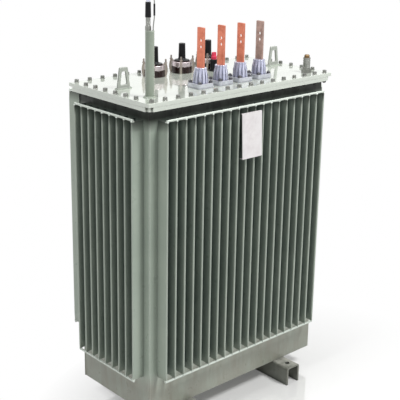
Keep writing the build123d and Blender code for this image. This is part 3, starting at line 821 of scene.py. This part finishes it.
def addTankWelds():
    mesh = bmesh.new()
    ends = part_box("left_wall")
    low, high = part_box("front_wall")
    low.y, high.y = ends[0].y, ends[1].y  # the front wall's fins stand out in y, so the end wall gives it
    for seed, (foot, head) in enumerate(zip(boxRing(low, high, low.z), boxRing(low, high, high.z))):
        weldBead(mesh, [foot, head], weldLook["corner"], seed)
    weldBead(mesh, boxRing(low, high, high.z), weldLook["flange"], weldLook["flangeSeed"], closed=True)
    for side in ("left", "right"):
        start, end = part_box(side + "_base_channel")
        for y in (low.y, high.y):
            weldBead(mesh, [Vector((start.x, y, end.z)), Vector((end.x, y, end.z))],
                     weldLook["channel"], weldLook["channelSeed"])
    addPiece("tankWelds", mesh, finishes["tank_paint"], weldLook["sharpAngle"])


def addRodTacks():
    mesh = bmesh.new()
    chance = random.Random(weldLook["tackSeed"])
    pitch = weldLook["finPitch"]
    for side in ("front", "back", "left", "right"):
        low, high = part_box(side + "_fin_rods")
        axis = 0 if side in ("front", "back") else 1
        count = round((high[axis] - low[axis] - 2 * weldLook["rodReach"]) / pitch) + 1
        middle = (low + high) / 2
        radius = (high[1 - axis] - low[1 - axis]) / 2
        for k in range(count):
            along = middle[axis] + (k - (count - 1) / 2) * pitch
            for level in (low.z + 2 * radius, high.z - 2 * radius):
                for offset in (-1, 1):
                    spot = Vector((0, 0, level))
                    spot[axis] = along + chance.uniform(-1, 1) * weldLook["tackWander"]
                    spot[1 - axis] = middle[1 - axis] + offset * radius * weldLook["tackSideShare"]
                    weldDab(mesh, spot, chance)
    addPiece("rodTacks", mesh, finishes["rod_paint"], weldLook["sharpAngle"])


def addFootWelds():
    mesh = bmesh.new()
    for side in ("left", "right"):
        low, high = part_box(side + "_lifting_lug")
        weldBead(mesh, boxRing(low, high, low.z), weldLook["lug"], weldLook["lugSeed"], closed=True)
    low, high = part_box("filler_pipe")
    centre = (low + high) / 2
    radius = (high.x - low.x) / 2
    around = [Vector((centre.x + radius * math.cos(a), centre.y + radius * math.sin(a), low.z))
              for a in [2 * math.pi * k / weldLook["pipePoints"] for k in range(weldLook["pipePoints"])]]
    weldBead(mesh, around, weldLook["pipe"], weldLook["pipeSeed"], closed=True)
    addPiece("footWelds", mesh, pipePaint, weldLook["sharpAngle"])


addTankWelds()
addRodTacks()
addFootWelds()


# pale floor, white surroundings and soft lamps

studio = {
    "floorColor": tint(236, 236, 235), "speckColor": tint(228, 228, 227), "speckSize": 240.0,
    "floorHalf": 60.0,
    "glowNear": 0.12, "glowFar": 1.0, "nearReach": 0.9, "farReach": 2.1,
    "shadeMiddle": (-0.1, 0.25, 0.0), "shadeOval": (2.0, 2.86, 0.0), "floorGloss": 0.06, "floorIor": 3.0,
    "fillLight": 0.16, "seenLight": 1.0, "white": (1.0, 1.0, 1.0, 1.0),
    "lamps": [  # name, place, aim, size in metres, watts
        ("frontLamp", (1.6, -4.4, 7.4), (0.0, 0.0, 0.7), 2.2, 640.0),
        ("sideLamp", (-4.6, 0.1, 7.2), (0.0, 0.0, 0.7), 2.2, 258.0),
        ("topLamp", (0.2, 0.3, 4.8), (0.0, 0.0, 1.0), 2.2, 40.0),
    ],
}


def distanceOut(tree):  # how many times the shaded oval's radius a spot of the floor lies from its middle
    moved = tree.nodes.new("ShaderNodeVectorMath")
    feed(tree, moved.inputs[0], objectPlace(tree))
    feed(tree, moved.inputs[1], studio["shadeMiddle"])
    node = tree.nodes.new("ShaderNodeVectorMath")
    node.operation = "LENGTH"
    feed(tree, node.inputs[0], stretch(tree, moved.outputs["Vector"], studio["shadeOval"]))
    return node.outputs["Value"]


def seenRays(tree):  # camera, mirror and glass rays meet the plain white
    path = tree.nodes.new("ShaderNodeLightPath").outputs
    seen = calc(tree, "MAXIMUM", path["Is Camera Ray"], path["Is Glossy Ray"])
    return calc(tree, "MAXIMUM", seen, path["Is Transmission Ray"])


def addFloor():
    mesh = bmesh.new()
    bmesh.ops.create_grid(mesh, x_segments=2, y_segments=2, size=studio["floorHalf"])
    data = bpy.data.meshes.new("studioFloor")
    mesh.to_mesh(data)
    mesh.free()
    floor = bpy.data.objects.new("studioFloor", data)
    scene.collection.objects.link(floor)
    material, tree, shader = newFinish("studioFloor", {
        "Roughness": studio["floorGloss"], "IOR": studio["floorIor"]})
    speck = noiseMap(tree, objectPlace(tree), studio["speckSize"], detail=4.0)
    color = blendColors(tree, speck, studio["floorColor"], studio["speckColor"])
    feed(tree, shader.inputs["Base Color"], color)
    glow = tree.nodes.new("ShaderNodeEmission")
    glow.inputs["Color"].default_value = studio["white"]
    fade = remap(tree, distanceOut(tree), studio["nearReach"], studio["farReach"],
                 studio["glowNear"], studio["glowFar"])
    mixed = tree.nodes.new("ShaderNodeMixShader")
    feed(tree, mixed.inputs[0], product(tree, seenRays(tree), fade))
    tree.links.new(shader.outputs[0], mixed.inputs[1])
    tree.links.new(glow.outputs[0], mixed.inputs[2])
    tree.links.new(mixed.outputs[0], tree.nodes["Material Output"].inputs["Surface"])
    data.materials.append(material)


def lightWorld():
    world = bpy.data.worlds.new("studioWorld")
    scene.world = world
    world.use_nodes = True
    tree = world.node_tree
    soft = tree.nodes["Background"]
    plain = tree.nodes.new("ShaderNodeBackground")
    for sky, strength in ((soft, studio["fillLight"]), (plain, studio["seenLight"])):
        sky.inputs["Color"].default_value = studio["white"]
        sky.inputs["Strength"].default_value = strength
    mixed = tree.nodes.new("ShaderNodeMixShader")
    feed(tree, mixed.inputs[0], seenRays(tree))
    tree.links.new(soft.outputs[0], mixed.inputs[1])
    tree.links.new(plain.outputs[0], mixed.inputs[2])
    tree.links.new(mixed.outputs[0], tree.nodes["World Output"].inputs["Surface"])


def addLamps():
    for name, place, aim, size, watts in studio["lamps"]:
        light = bpy.data.lights.new(name, "AREA")
        light.size = size
        light.energy = watts
        lamp = bpy.data.objects.new(name, light)
        lamp.location = place
        lamp.rotation_euler = (Vector(aim) - Vector(place)).to_track_quat("-Z", "Y").to_euler()
        scene.collection.objects.link(lamp)


addFloor()
lightWorld()
addLamps()
scene.view_settings.view_transform = "Standard"
print("studio lit")


# camera at the photograph's place

cameraSetup = {
    "place": (-2.5685, -2.8648, 2.1103), "turn": 47.81, "dip": 16.79, "roll": 0.93,
    "lens": 84.96, "sensor": 36.0, "shiftY": -0.07,
}


def addCamera():
    data = bpy.data.cameras.new("photoCamera")
    data.lens = cameraSetup["lens"]
    data.sensor_width = cameraSetup["sensor"]
    data.shift_y = cameraSetup["shiftY"]
    camera = bpy.data.objects.new("photoCamera", data)
    scene.collection.objects.link(camera)
    camera.matrix_world = (
        Matrix.Translation(cameraSetup["place"])
        @ Matrix.Rotation(math.radians(cameraSetup["turn"] - 90), 4, "Z")
        @ Matrix.Rotation(math.radians(90 - cameraSetup["dip"]), 4, "X")
        @ Matrix.Rotation(math.radians(cameraSetup["roll"]), 4, "Z"))
    scene.camera = camera


addCamera()
print("camera set")
